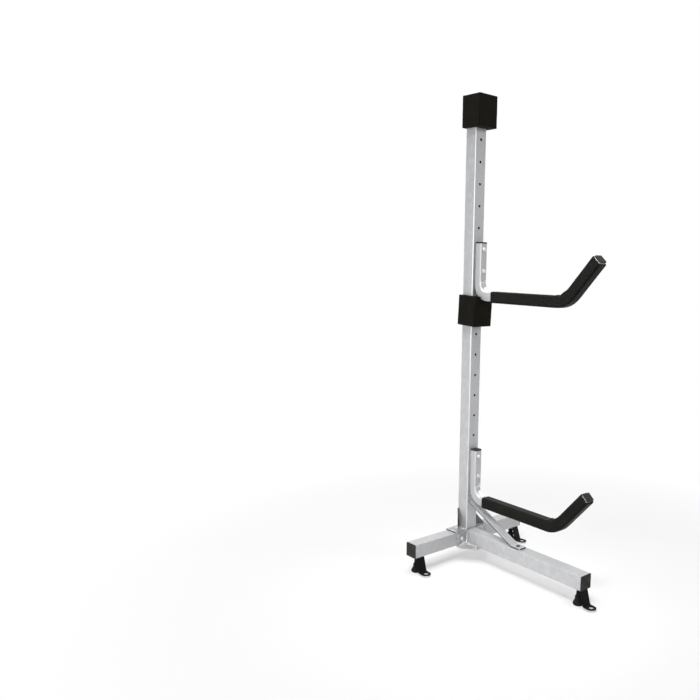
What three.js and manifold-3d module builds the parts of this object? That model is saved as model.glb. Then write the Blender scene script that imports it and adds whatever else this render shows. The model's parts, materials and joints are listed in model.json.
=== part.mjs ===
import * as THREE from "three";
import { mergeVertices } from "three/addons/utils/BufferGeometryUtils.js";
import Module from "manifold-3d";

const wasm = await Module();
wasm.setup();

// Sizes in millimetres. X runs forwards along the arms, Y to the left, Z up from the floor.

// Square tube of the upright, the cross tube and the front leg
const frameTubeWidth = 50;
const frameTubeWall = 2;
const frameTubeCorner = 3;
const tubeGroundClearance = 60;

// Lengths of the frame tubes, which end in plastic caps
const crossTubeLength = 530;
const frontLegLength = 545;
const capFlange = 3;
const capPlugDepth = 12;
const capPlugWall = 2;
const fitClearance = 0.3;

// The row of holes up the upright, and the splice of its two tubes
const holeSpacing = 75;
const lowestHoleRise = 208;
const lowerHoleCount = 9;
const upperHoleCount = 8;
const lowerArmHoleIndex = 0;
const upperArmHoleIndex = 10;
const spliceAboveHole = 22;
const topAboveHole = 133;
const couplerLength = 260;
const couplerWall = 2.5;
const couplerScrewInset = 12;
const screwRadius = 2.5;
const screwHeadRadius = 5.5;
const screwHeadHeight = 2.8;
const screwLength = 8;

// Bolts and nuts that hold the arms, the brace and the leg bracket
const boltRadius = 4;
const boltHoleRadius = 4.5;
const boltHeadRadius = 7.5;
const boltHeadRim = 1.4;
const boltHeadHeight = 4.6;
const boltTail = 2.5;
const nutAcrossFlats = 13;
const nutHeight = 6.5;

// Plates that join the upright, the cross tube and the front leg
const plateThickness = 4;
const saddleHalfLength = 79;
const rearFlangeHalfLength = 72;
const frontPlateHalfLength = 73;
const bracketBoltOffset = 50;
const webTipReach = 67;
const webTipHalfWidth = 33;
const webShoulder = 16;
const weldLeg = 5;
const gussetThickness = 3;
const gussetHeight = 70;
const gussetTopWidth = 5;
const gussetToeHeight = 6;
const gussetToeForward = 22;
const gussetToeOut = 68;

// Flat brace from the upright down to the front leg
const braceWidth = 35;
const braceThickness = 5;
const braceArmGap = 1.6;
const braceTabHeight = 34;
const braceTabBoltInset = 17;
const braceFootStartDistance = 251;
const braceFootEndDistance = 293;
const braceFootBoltDistance = 270;
const braceBendRadius = 9;
const braceCorner = 5;

// Arms: a bent square tube in a foam sleeve
const armTubeWidth = 30;
const armTubeWall = 2;
const armTubeCorner = 3;
const armTopAboveBolt = 21;
const armDropBelowBolt = 89;
const armBendRadius = 47;
const armTipBendRadius = 80;
const armVertexDistance = 445;
const armTipLength = 181.4;
const armTipAngle = 48;
const armCrimpDepth = 5;
const armCapFlange = 5;
const sleeveWidth = 40;
const sleeveCornerRadius = 7;
const lowerSleeveStartDistance = 96;
const upperSleeveStartDistance = 112;
const sleeveShortfall = 3;
const foamFit = 0.2;

// Foam bumpers pushed on to the upright
const bumperHeight = 107;
const bumperWidth = 85;
const bumperFrontThickness = 34;
const bumperRearThickness = 4;
const bumperCornerRadius = 2.5;
const topBumperOverhang = 12;
const middleBumperRise = 1.5;
const middleBumperTiltAngle = 3;

// Levelling feet with a swinging anchor tab
const footPlugGap = 2.2;
const padRadius = 19;
const padNutGap = 5;
const padCavityFloor = 5;
const studRadius = 5;
const studHeadRadius = 10;
const studHeadHeight = 6;
const studTopHeight = 92;
const studChamfer = 1;
const footNutAcrossFlats = 17;
const footNutHeight = 8;
const insertHeight = 8;
const tabThickness = 3;
const tabWidth = 34;
const tabKneeDistance = 20;
const tabAnkleDistance = 36;
const tabHoleReach = 57;
const tabHoleRadius = 8;
const tabFloorGap = 7;
const tabBendRadius = 5;
const rightTabTurnAngle = -2;
const leftTabTurnAngle = 10;
const frontTabTurnAngle = -5;

// Facets of rounded shapes
const holeFacets = 16;
const turnedFacets = 24;
const cornerFacets = 3;
const sleeveCornerFacets = 4;
const armBendFacets = 12;
const stripBendFacets = 4;
const tipBendFacets = 6;

// Shares of a size, and angles
const crimpFaceShare = 0.8;
const crimpFaceFacets = 4;
const padProfileShares = [
  [0.868, 0],
  [0.968, 0.037],
  [1, 0.105],
  [0.958, 0.186],
  [0.779, 0.314],
  [0.674, 0.419],
  [0.632, 0.674],
  [0.468, 0.733],
  [0.453, 1],
];
const domeMidShare = 0.62;
const domeMidHeightShare = 0.72;
const cutOverlapShare = 0.5;
const quarterTurn = Math.PI / 2;
const degree = Math.PI / 180;

// Heights and faces that follow from the sizes above
const halfTube = frameTubeWidth / 2;
const baseTop = tubeGroundClearance + frameTubeWidth;
const uprightBottom = baseTop + plateThickness;
const lowerUprightLength = lowestHoleRise + (lowerHoleCount - 1) * holeSpacing + spliceAboveHole;
const upperUprightLength = upperHoleCount * holeSpacing - spliceAboveHole + topAboveHole;
const spliceHeight = uprightBottom + lowerUprightLength;
const uprightTop = spliceHeight + upperUprightLength;
const bracketFace = halfTube + plateThickness;
const halfCross = crossTubeLength / 2;
const legEnd = bracketFace + frontLegLength;
const baseMid = tubeGroundClearance + halfTube;
const tubeInside = frameTubeWidth - 2 * frameTubeWall;
const insertCorner = footNutAcrossFlats / Math.sqrt(3);
const footInset = capPlugDepth + footPlugGap + insertCorner;
const footNutSeat = tubeGroundClearance - tabThickness - footNutHeight;
const padHeight = footNutSeat - padNutGap;
const footOffset = halfCross - footInset;
const frontFootX = legEnd - footInset;
const armCentreX = halfTube + armTubeWidth / 2;
const braceTabTop = underArmBend(armRun(lowerArmHoleIndex), braceThickness) - braceArmGap;
const braceTopBolt = braceTabTop - braceTabBoltInset;
const middleBumperTop = armRun(upperArmHoleIndex) + middleBumperRise;

const steel = { color: 0xc6c9cd, roughness: 0.42, metalness: 0.55 };
const zinc = { color: 0xd9dbde, roughness: 0.28, metalness: 0.9 };
const plastic = { color: 0x151517, roughness: 0.6, metalness: 0 };
const foam = { color: 0x1c1c1a, roughness: 0.9, metalness: 0 };
const blackSteel = { color: 0x101011, roughness: 0.38, metalness: 0.6 };

function solidFrom(geometry) {
  const bare = geometry.clone();
  bare.deleteAttribute("normal");
  bare.deleteAttribute("uv");
  const merged = mergeVertices(bare);
  const triVerts = new Uint32Array(merged.index.array);
  const vertProperties = new Float32Array(merged.attributes.position.array);
  return new wasm.Manifold(new wasm.Mesh({ numProp: 3, vertProperties, triVerts }));
}

const stand = new THREE.Group();
stand.name = "kayak_stand";

function addNode(name, solid, look) {
  const mesh = solid.getMesh();
  const geometry = new THREE.BufferGeometry();
  geometry.setAttribute("position", new THREE.BufferAttribute(mesh.vertProperties, 3));
  geometry.setIndex(new THREE.BufferAttribute(mesh.triVerts, 1));
  const node = new THREE.Mesh(geometry, new THREE.MeshStandardMaterial(look));
  node.name = name;
  stand.add(node);
}

// Outline of a square or oblong with rounded corners, as [across, up] pairs, anticlockwise
function roundedOutline(width, depth, corner, facets) {
  const outline = [];
  const signs = [[1, 1], [-1, 1], [-1, -1], [1, -1]];
  signs.forEach(([sideX, sideY], index) => {
    for (let step = 0; step <= facets; step += 1) {
      const angle = (index + step / facets) * quarterTurn;
      const across = sideX * (width / 2 - corner) + corner * Math.cos(angle);
      const up = sideY * (depth / 2 - corner) + corner * Math.sin(angle);
      outline.push([across, up]);
    }
  });
  return outline;
}

// Straight prism of an outline drawn in X and Y, from one height to another
function prismZ(outline, from, to) {
  const shape = new THREE.Shape(outline.map(([x, y]) => new THREE.Vector2(x, y)));
  const geometry = new THREE.ExtrudeGeometry(shape, { depth: to - from, bevelEnabled: false });
  geometry.translate(0, 0, from);
  return solidFrom(geometry);
}

// The same with the outline in Y and Z, along X
function prismX(outline, from, to) {
  const flipped = prismZ(outline, from, to);
  return flipped.rotate([90, 0, 90]);
}

// The same with the outline in X and Z, along Y
function prismY(outline, from, to) {
  const flipped = prismZ(outline, -to, -from);
  return flipped.rotate([90, 0, 0]);
}

function box(x, y, z) {
  return prismZ([[x[0], y[0]], [x[1], y[0]], [x[1], y[1]], [x[0], y[1]]], z[0], z[1]);
}

function cylinderZ(radius, from, to, facets) {
  const geometry = new THREE.CylinderGeometry(radius, radius, to - from, facets);
  geometry.rotateX(quarterTurn);
  geometry.translate(0, 0, (from + to) / 2);
  return solidFrom(geometry);
}

function turnedZ(profile) {
  const points = profile.map(([radius, height]) => new THREE.Vector2(radius, height));
  const geometry = new THREE.LatheGeometry(points, turnedFacets);
  geometry.rotateX(quarterTurn);
  return solidFrom(geometry);
}

function alongX(solid) {
  return solid.rotate([0, 90, 0]);
}

function alongY(solid) {
  return solid.rotate([-90, 0, 0]);
}

// Hollow square tube standing on the origin
function squareTube(width, wall, corner, length) {
  const outside = prismZ(roundedOutline(width, width, corner, cornerFacets), 0, length);
  const inside = width - 2 * wall;
  const margin = wall * cutOverlapShare;
  const bore = roundedOutline(inside, inside, corner - margin, cornerFacets);
  return outside.subtract(prismZ(bore, -margin, length + margin));
}

// Cap with its flange above the origin and a hollow plug below it
function tubeCap(width, wall, corner, flange) {
  const top = prismZ(roundedOutline(width, width, corner, cornerFacets), 0, flange);
  const plugWidth = width - 2 * wall - 2 * fitClearance;
  const cupWidth = plugWidth - 2 * capPlugWall;
  const plugCorner = corner - wall * cutOverlapShare;
  const plug = prismZ(roundedOutline(plugWidth, plugWidth, plugCorner, cornerFacets), -capPlugDepth, 0);
  const cup = box([-cupWidth / 2, cupWidth / 2], [-cupWidth / 2, cupWidth / 2], [-2 * capPlugDepth, 0]);
  return top.add(plug.subtract(cup));
}

// Dome-headed bolt whose head sits on the origin and whose shank points down
function bolt(shankLength) {
  const shoulder = THREE.MathUtils.lerp(boltHeadRim, boltHeadHeight, domeMidHeightShare);
  return turnedZ([
    [0, -shankLength],
    [boltRadius, -shankLength],
    [boltRadius, 0],
    [boltHeadRadius, 0],
    [boltHeadRadius, boltHeadRim],
    [boltHeadRadius * domeMidShare, shoulder],
    [0, boltHeadHeight],
  ]);
}

// Hexagon nut with its seat on the origin, above it
function nut(acrossFlats, height, bore) {
  const body = cylinderZ(acrossFlats / Math.sqrt(3), 0, height, 6);
  return body.subtract(cylinderZ(bore, -height, 2 * height, holeFacets));
}

// Centre line in X and Z through corner points, each corner turned on the bend radius
function bentPath(points, bend, facets) {
  const path = [points[0]];
  for (let index = 1; index < points.length - 1; index += 1) {
    const corner = new THREE.Vector2(...points[index]);
    const before = new THREE.Vector2(...points[index - 1]).sub(corner).normalize();
    const after = new THREE.Vector2(...points[index + 1]).sub(corner).normalize();
    const half = before.angleTo(after) / 2;
    const centre = before.clone().add(after).normalize().multiplyScalar(bend / Math.sin(half)).add(corner);
    const start = before.clone().multiplyScalar(bend / Math.tan(half)).add(corner).sub(centre);
    const turn = Math.PI - 2 * half;
    const side = Math.sign(before.x * after.y - before.y * after.x);
    for (let step = 0; step <= facets; step += 1) {
      const angle = -side * turn * (step / facets);
      const spoke = start.clone().rotateAround(new THREE.Vector2(), angle);
      path.push([centre.x + spoke.x, centre.y + spoke.y]);
    }
  }
  path.push(points[points.length - 1]);
  return path;
}

// Unit vector square to the path at one of its points, towards its left
function leftOf(path, index) {
  const ahead = path[Math.min(index + 1, path.length - 1)];
  const here = path[index];
  const behind = path[Math.max(index - 1, 0)];
  const arriving = new THREE.Vector2(here[0] - behind[0], here[1] - behind[1]).normalize();
  const leaving = new THREE.Vector2(ahead[0] - here[0], ahead[1] - here[1]).normalize();
  const along = arriving.add(leaving).normalize();
  return new THREE.Vector2(-along.y, along.x);
}

// Flat strip bent along a path, of the given width across Y
function bentStrip(points, thickness, width, bend) {
  const path = bentPath(points, bend, stripBendFacets);
  const upper = path.map(([x, z], index) => {
    const left = leftOf(path, index).multiplyScalar(thickness / 2);
    return [x + left.x, z + left.y];
  });
  const lower = path.map(([x, z], index) => {
    const left = leftOf(path, index).multiplyScalar(-thickness / 2);
    return [x + left.x, z + left.y];
  });
  const outline = [...lower, ...upper.reverse()];
  return prismY(outline, -width / 2, width / 2);
}

// Closed skin through rings of equal point count, with flat ends
function skin(rings) {
  const count = rings[0].length;
  const positions = rings.flat(2);
  const index = [];
  for (let ring = 0; ring < rings.length - 1; ring += 1) {
    for (let point = 0; point < count; point += 1) {
      const next = (point + 1) % count;
      const a = ring * count + point;
      const b = ring * count + next;
      const c = a + count;
      const d = b + count;
      index.push(a, d, b, a, c, d);
    }
  }
  const last = (rings.length - 1) * count;
  for (let point = 1; point < count - 1; point += 1) {
    index.push(0, point, point + 1, last, last + point + 1, last + point);
  }
  const geometry = new THREE.BufferGeometry();
  geometry.setAttribute("position", new THREE.Float32BufferAttribute(positions, 3));
  geometry.setIndex(index);
  return solidFrom(geometry);
}

function holeHeight(index) {
  return uprightBottom + lowestHoleRise + index * holeSpacing;
}

// Height of the centre line of an arm's level run
function armRun(lowestHole) {
  return holeHeight(lowestHole) - armDropBelowBolt;
}

// Height of the outside of an arm's first bend, at a distance in front of the upright
function underArmBend(run, distance) {
  const outside = armBendRadius + armTubeWidth / 2;
  return run + armBendRadius - Math.sqrt(outside ** 2 - (outside - distance) ** 2);
}

// Corner points of an arm's centre line, from its top end to its tip
function armCorners(lowestHole) {
  const run = armRun(lowestHole);
  const top = holeHeight(lowestHole + 1) + armTopAboveBolt;
  const tip = armTipLength * Math.cos(armTipAngle * degree);
  const rise = armTipLength * Math.sin(armTipAngle * degree);
  return [
    [armCentreX, top],
    [armCentreX, run],
    [armVertexDistance, run],
    [armVertexDistance + tip, run + rise],
  ];
}

function armPath(corners) {
  const first = bentPath(corners.slice(0, 3), armBendRadius, armBendFacets);
  const second = bentPath(corners.slice(1), armTipBendRadius, tipBendFacets);
  return [...first.slice(0, -1), ...second.slice(1)];
}

// Rings of a rounded square around the path, with the inside of the first bend pressed in
function armRings(path, width, corner, crimp, stretch) {
  const flat = (width / 2 - corner) * crimpFaceShare;
  const outline = roundedOutline(width, width, corner, cornerFacets);
  const front = [];
  for (let step = 1; step < crimpFaceFacets; step += 1) {
    front.push([width / 2, (2 * step / crimpFaceFacets - 1) * flat]);
  }
  const section = [...front, ...outline];
  return path.map(([x, z], index) => {
    const left = leftOf(path, index);
    const along = new THREE.Vector2(left.y, -left.x);
    const inBend = index >= 1 && index <= armBendFacets + 1;
    const press = inBend ? crimp * Math.sin(Math.PI * (index - 1) / armBendFacets) : 0;
    let shift = 0;
    if (index === 0) {
      shift = -stretch;
    } else if (index === path.length - 1) {
      shift = stretch;
    }
    return section.map(([out, side]) => {
      const dent = out > flat && Math.abs(side) < flat ? press * (1 - (side / flat) ** 2) : 0;
      const reach = out - dent;
      return [x + left.x * reach + along.x * shift, side, z + left.y * reach + along.y * shift];
    });
  });
}

function frameTubes() {
  const bore = alongX(cylinderZ(boltHoleRadius, -frameTubeWidth, frameTubeWidth, holeFacets));
  const screwBore = alongX(cylinderZ(screwRadius + fitClearance, -frameTubeWidth, 0, holeFacets));
  const boreRow = (first, count) => {
    const heights = Array.from({ length: count }, (_, index) => first + index);
    return heights.map((index) => bore.translate([0, 0, holeHeight(index)]));
  };
  const couplerBottom = spliceHeight - couplerLength / 2;
  const screwHeight = couplerBottom + couplerScrewInset;
  const screwHole = screwBore.translate([0, 0, screwHeight]);

  let lower = squareTube(frameTubeWidth, frameTubeWall, frameTubeCorner, lowerUprightLength);
  lower = lower.translate([0, 0, uprightBottom]).subtract(screwHole);
  boreRow(0, lowerHoleCount).forEach((hole) => {
    lower = lower.subtract(hole);
  });
  lower = lower.subtract(bore.translate([0, 0, braceTopBolt]));
  addNode("lower_upright", lower, steel);

  let upper = squareTube(frameTubeWidth, frameTubeWall, frameTubeCorner, upperUprightLength);
  upper = upper.translate([0, 0, spliceHeight]);
  boreRow(lowerHoleCount, upperHoleCount).forEach((hole) => {
    upper = upper.subtract(hole);
  });
  addNode("upper_upright", upper, steel);

  const couplerWidth = tubeInside - 2 * fitClearance;
  let coupler = squareTube(couplerWidth, couplerWall, frameTubeCorner, couplerLength);
  coupler = coupler.translate([0, 0, couplerBottom]).subtract(screwHole);
  boreRow(0, lowerHoleCount + upperHoleCount).forEach((hole) => {
    coupler = coupler.subtract(hole);
  });
  addNode("upright_coupler", coupler, steel);

  const screw = turnedZ([
    [0, -screwLength],
    [screwRadius, -screwLength],
    [screwRadius, 0],
    [screwHeadRadius, 0],
    [screwHeadRadius * domeMidShare, screwHeadHeight],
    [0, screwHeadHeight],
  ]);
  addNode("coupler_screw", screw.rotate([0, -90, 0]).translate([-halfTube, 0, screwHeight]), zinc);

  const cap = tubeCap(frameTubeWidth, frameTubeWall, frameTubeCorner, capFlange);
  addNode("upright_top_cap", cap.translate([0, 0, uprightTop]), plastic);

  let cross = alongY(squareTube(frameTubeWidth, frameTubeWall, frameTubeCorner, crossTubeLength));
  cross = cross.translate([0, -halfCross, baseMid]);
  [-1, 1].forEach((side) => {
    cross = cross.subtract(bore.translate([0, side * bracketBoltOffset, baseMid]));
    cross = cross.subtract(footBore().translate([0, side * footOffset, 0]));
  });
  addNode("cross_tube", cross, steel);
  addNode("cross_cap_right", alongY(cap).rotate([0, 0, 180]).translate([0, -halfCross, baseMid]), plastic);
  addNode("cross_cap_left", alongY(cap).translate([0, halfCross, baseMid]), plastic);

  let leg = alongX(squareTube(frameTubeWidth, frameTubeWall, frameTubeCorner, frontLegLength));
  leg = leg.translate([bracketFace, 0, baseMid]);
  const braceBore = cylinderZ(boltHoleRadius, 0, uprightBottom, holeFacets);
  leg = leg.subtract(braceBore.translate([braceFootBoltDistance, 0, 0]));
  leg = leg.subtract(footBore().translate([frontFootX, 0, 0]));
  addNode("front_leg", leg, steel);
  addNode("front_leg_cap", alongX(cap).translate([legEnd, 0, baseMid]), plastic);
}

// Hole for a foot's stud through the underside of a tube only
function footBore() {
  return cylinderZ(studRadius + fitClearance, 0, baseMid, turnedFacets);
}

function jointPlates() {
  const boreX = alongX(cylinderZ(boltHoleRadius, -frameTubeWidth, frameTubeWidth, holeFacets));
  const cutBoltHoles = (plate) => [-1, 1].reduce(
    (left, side) => left.subtract(boreX.translate([0, side * bracketBoltOffset, baseMid])), plate);

  const top = box([-bracketFace, halfTube], [-saddleHalfLength, saddleHalfLength],
    [baseTop, uprightBottom]);
  const rear = box([-bracketFace, -halfTube], [-rearFlangeHalfLength, rearFlangeHalfLength],
    [tubeGroundClearance, baseTop]);
  addNode("saddle_bracket", cutBoltHoles(top.add(rear)), steel);

  const webHeights = [tubeGroundClearance - plateThickness, tubeGroundClearance];
  const front = box([halfTube, bracketFace], [-frontPlateHalfLength, frontPlateHalfLength],
    [webHeights[0], uprightBottom]);
  const web = prismZ([
    [bracketFace, -frontPlateHalfLength],
    [bracketFace + webShoulder, -frontPlateHalfLength],
    [bracketFace + webTipReach, -webTipHalfWidth],
    [bracketFace + webTipReach, webTipHalfWidth],
    [bracketFace + webShoulder, frontPlateHalfLength],
    [bracketFace, frontPlateHalfLength],
  ], ...webHeights);
  addNode("leg_bracket", cutBoltHoles(front.add(web)), steel);

  [["right", -1], ["left", 1]].forEach(([side, sign]) => {
    addNode(`leg_weld_${side}`, legWeld(sign), steel);
    addNode(`gusset_${side}`, gusset(sign), steel);
  });
}

// Fillet weld up the corner between plate and leg, and along both edges of the web
function legWeld(sign) {
  const wedge = [[0, 0], [weldLeg, 0], [0, weldLeg]];
  const upEnd = baseTop - tubeGroundClearance - weldLeg;
  const outEnd = frontPlateHalfLength - halfTube - weldLeg;
  const forwardEnd = webTipReach - weldLeg;
  const rising = prismZ(wedge, 0, upEnd);
  const outward = prismZ(wedge, 0, outEnd).rotate([0, 90, 0]).rotate([0, 0, 90]).mirror([1, 0, 0]);
  const forward = prismX(wedge, 0, forwardEnd);
  const upright = rising.add(forward).add(outward.mirror([0, 0, 1]));
  const placed = upright.translate([bracketFace, halfTube, tubeGroundClearance]);
  return sign > 0 ? placed : placed.mirror([0, 1, 0]);
}

// Upright triangular plate from the upright's rear corner out to the front of the saddle
function gusset(sign) {
  const forward = halfTube + gussetToeForward;
  const outward = gussetToeOut - halfTube;
  const run = Math.hypot(forward, outward);
  const plate = prismY([
    [0, 0],
    [run, 0],
    [run, gussetToeHeight],
    [gussetTopWidth, gussetHeight],
    [0, gussetHeight],
  ], -gussetThickness / 2, gussetThickness / 2);
  const turned = plate.rotate([0, 0, -Math.atan2(outward, forward) / degree]);
  const placed = turned.translate([-halfTube, -halfTube, uprightBottom]);
  const keepOut = prismZ(roundedOutline(frameTubeWidth, frameTubeWidth, frameTubeCorner, cornerFacets),
    baseTop, spliceHeight);
  const trimmed = placed.subtract(keepOut);
  return sign < 0 ? trimmed : trimmed.mirror([0, 1, 0]);
}

function brace() {
  const mid = halfTube + braceThickness / 2;
  const foot = baseTop + braceThickness / 2;
  const strip = bentStrip([
    [mid, braceTabTop],
    [mid, braceTabTop - braceTabHeight],
    [braceFootStartDistance, foot],
    [braceFootEndDistance, foot],
  ], braceThickness, braceWidth, braceBendRadius);
  const plan = roundedOutline(2 * braceFootEndDistance, braceWidth, braceCorner, cornerFacets);
  const front = roundedOutline(braceWidth, 2 * braceTabTop, braceCorner, cornerFacets);
  const topHole = alongX(cylinderZ(boltHoleRadius, 0, frameTubeWidth, holeFacets));
  const footHole = cylinderZ(boltHoleRadius, 0, 2 * baseTop, holeFacets);
  const strap = strip
    .intersect(prismZ(plan, 0, uprightTop))
    .intersect(prismX(front, 0, 2 * braceFootEndDistance))
    .subtract(topHole.translate([0, 0, braceTopBolt]))
    .subtract(footHole.translate([braceFootBoltDistance, 0, 0]));
  addNode("brace_strap", strap, steel);
  boltAcross("brace_top", halfTube + braceThickness, halfTube, 0, braceTopBolt);

  const grip = braceThickness + frameTubeWidth;
  const shank = grip + nutHeight + boltTail;
  const above = baseTop + braceThickness;
  addNode("brace_foot_bolt", bolt(shank).translate([braceFootBoltDistance, 0, above]), zinc);
  const under = tubeGroundClearance - nutHeight;
  addNode("brace_foot_nut", nut(nutAcrossFlats, nutHeight, boltRadius + fitClearance)
    .translate([braceFootBoltDistance, 0, under]), zinc);
}

// Bolt from a front face at +X through to a nut on a rear face at -X
function boltAcross(name, front, rear, y, z, ending = "") {
  const shank = front + rear + nutHeight + boltTail;
  addNode(`${name}_bolt${ending}`, alongX(bolt(shank)).translate([front, y, z]), zinc);
  const hex = alongX(nut(nutAcrossFlats, nutHeight, boltRadius + fitClearance));
  addNode(`${name}_nut${ending}`, hex.translate([-rear - nutHeight, y, z]), zinc);
}

function arm(name, lowestHole, sleeveStart) {
  const corners = armCorners(lowestHole);
  const path = armPath(corners);
  const margin = armTubeWall * cutOverlapShare;
  const outside = skin(armRings(path, armTubeWidth, armTubeCorner, armCrimpDepth, 0));
  const inner = armTubeWidth - 2 * armTubeWall;
  let tube = outside.subtract(skin(armRings(path, inner, armTubeCorner - margin, armCrimpDepth, margin)));
  const boreEnd = halfTube + 2 * armTubeWidth;
  const bore = alongX(cylinderZ(boltHoleRadius, halfTube - margin, boreEnd, holeFacets));
  [lowestHole, lowestHole + 1].forEach((hole) => {
    tube = tube.subtract(bore.translate([0, 0, holeHeight(hole)]));
  });
  addNode(`${name}_arm_tube`, tube, steel);

  const tip = corners[3];
  const lean = armTipAngle * degree;
  const sleevePath = sleeveLine(path, sleeveStart, tip, lean);
  const foamOutside = skin(sleeveRings(sleevePath, sleeveWidth, sleeveCornerRadius, 0));
  const foamInside = skin(sleeveRings(sleevePath, armTubeWidth + 2 * foamFit, armTubeCorner, margin));
  addNode(`${name}_arm_sleeve`, foamOutside.subtract(foamInside), foam);

  const cap = tubeCap(armTubeWidth, armTubeWall, armTubeCorner, armCapFlange);
  addNode(`${name}_arm_top_cap`, cap.translate([corners[0][0], 0, corners[0][1]]), plastic);
  const tilted = cap.rotate([0, 90 - armTipAngle, 0]);
  addNode(`${name}_arm_tip_cap`, tilted.translate([tip[0], 0, tip[1]]), plastic);
  [["low", lowestHole], ["high", lowestHole + 1]].forEach(([level, hole]) => {
    boltAcross(`${name}_arm_${level}`, halfTube + armTubeWidth, halfTube, 0, holeHeight(hole));
  });
}

// Part of the arm's centre line that the foam covers
function sleeveLine(path, start, tip, lean) {
  const run = path.filter((_, index) => index > armBendFacets + 1 && index < path.length - 1);
  const end = [tip[0] - sleeveShortfall * Math.cos(lean), tip[1] - sleeveShortfall * Math.sin(lean)];
  return [[start, run[0][1]], ...run, end];
}

function sleeveRings(path, width, corner, stretch) {
  const outline = roundedOutline(width, width, corner, sleeveCornerFacets);
  return path.map(([x, z], index) => {
    const left = leftOf(path, index);
    const ends = { 0: -stretch, [path.length - 1]: stretch };
    const shift = ends[index] ?? 0;
    return outline.map(([out, side]) => [
      x + left.x * out + left.y * shift,
      side,
      z + left.y * out - left.x * shift,
    ]);
  });
}

// Foam block round the upright; a tilted one leans forwards, but its hole stays upright
function bumper(top, tilt) {
  const front = halfTube + bumperFrontThickness;
  const rear = halfTube + bumperRearThickness;
  const outline = roundedOutline(front + rear, bumperWidth, bumperCornerRadius, sleeveCornerFacets);
  const block = prismZ(outline, -bumperHeight / 2, bumperHeight / 2).rotate([0, tilt, 0]);
  const placed = block.translate([(front - rear) / 2, 0, top - bumperHeight / 2]);
  const hole = frameTubeWidth + 2 * foamFit;
  const pass = roundedOutline(hole, hole, frameTubeCorner, cornerFacets);
  return placed.subtract(prismZ(pass, 0, 2 * uprightTop));
}

// The middle block is pushed up under the upper arm, whose bend sinks into it
function bumpers() {
  const topBlock = bumper(uprightTop + topBumperOverhang, 0);
  addNode("top_bumper", topBlock, foam);
  const bend = armPath(armCorners(upperArmHoleIndex));
  const dent = skin(armRings(bend, armTubeWidth + 2 * foamFit, armTubeCorner, armCrimpDepth, 0));
  const middleBlock = bumper(middleBumperTop, middleBumperTiltAngle);
  addNode("middle_bumper", middleBlock.subtract(dent), foam);
}

function foot(side, x, y, tabTurn) {
  const profile = padProfileShares.map(([across, up]) => [across * padRadius, up * padHeight]);
  const headTop = padCavityFloor + studHeadHeight;
  const cavity = turnedZ([
    [0, padCavityFloor],
    [studHeadRadius + fitClearance, padCavityFloor],
    [studHeadRadius + fitClearance, headTop + fitClearance],
    [studRadius + fitClearance, headTop + fitClearance],
    [studRadius + fitClearance, 2 * padHeight],
    [0, 2 * padHeight],
  ]);
  const pad = turnedZ([[0, 0], ...profile, [0, padHeight]]).subtract(cavity);
  addNode(`foot_pad_${side}`, pad.translate([x, y, 0]), plastic);
  const stud = turnedZ([
    [0, padCavityFloor],
    [studHeadRadius, padCavityFloor],
    [studHeadRadius, headTop],
    [studRadius, headTop],
    [studRadius, studTopHeight - studChamfer],
    [studRadius - studChamfer, studTopHeight],
    [0, studTopHeight],
  ]);
  addNode(`foot_stud_${side}`, stud.translate([x, y, 0]), blackSteel);

  const bore = studRadius + fitClearance;
  const jam = nut(footNutAcrossFlats, footNutHeight, bore);
  addNode(`foot_nut_${side}`, jam.translate([x, y, footNutSeat]), blackSteel);
  const insert = nut(footNutAcrossFlats, insertHeight, bore);
  addNode(`foot_insert_${side}`, insert.translate([x, y, tubeGroundClearance + frameTubeWall]), zinc);
  addNode(`anchor_tab_${side}`, anchorTab(tabTurn).translate([x, y, 0]), blackSteel);
}

function anchorTab(turn) {
  const high = tubeGroundClearance - tabThickness / 2;
  const low = tabFloorGap + tabThickness / 2;
  const end = tabWidth / 2;
  const strip = bentStrip([
    [-end, high],
    [tabKneeDistance, high],
    [tabAnkleDistance, low],
    [tabHoleReach + end, low],
  ], tabThickness, tabWidth, tabBendRadius);
  const length = tabHoleReach + 2 * tabWidth;
  const plan = roundedOutline(length, tabWidth, end, 2 * sleeveCornerFacets);
  const middle = tabHoleReach + end - length / 2;
  const rounded = strip.intersect(prismZ(plan, 0, baseTop).translate([middle, 0, 0]));
  const studHole = cylinderZ(studRadius + 2 * fitClearance, 0, baseTop, turnedFacets);
  const screwHole = cylinderZ(tabHoleRadius, 0, baseTop, turnedFacets).translate([tabHoleReach, 0, 0]);
  return rounded.subtract(studHole).subtract(screwHole).rotate([0, 0, turn]);
}

frameTubes();
jointPlates();
brace();
boltAcross("bracket", bracketFace, bracketFace, -bracketBoltOffset, baseMid, "_right");
boltAcross("bracket", bracketFace, bracketFace, bracketBoltOffset, baseMid, "_left");
arm("upper", upperArmHoleIndex, upperSleeveStartDistance);
arm("lower", lowerArmHoleIndex, lowerSleeveStartDistance);
bumpers();
foot("right", 0, -footOffset, rightTabTurnAngle);
foot("left", 0, footOffset, leftTabTurnAngle);
foot("front", frontFootX, 0, frontTabTurnAngle);

// The origin is under the middle of the stand's own bounding box, on the floor
const bounds = new THREE.Box3().setFromObject(stand);
const middle = bounds.getCenter(new THREE.Vector3());
stand.children.forEach((node) => node.geometry.translate(-middle.x, -middle.y, -bounds.min.z));

export default stand;
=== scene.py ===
import json
from math import cos, exp, radians, sin

import bpy
from mathutils import Matrix, Vector

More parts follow.
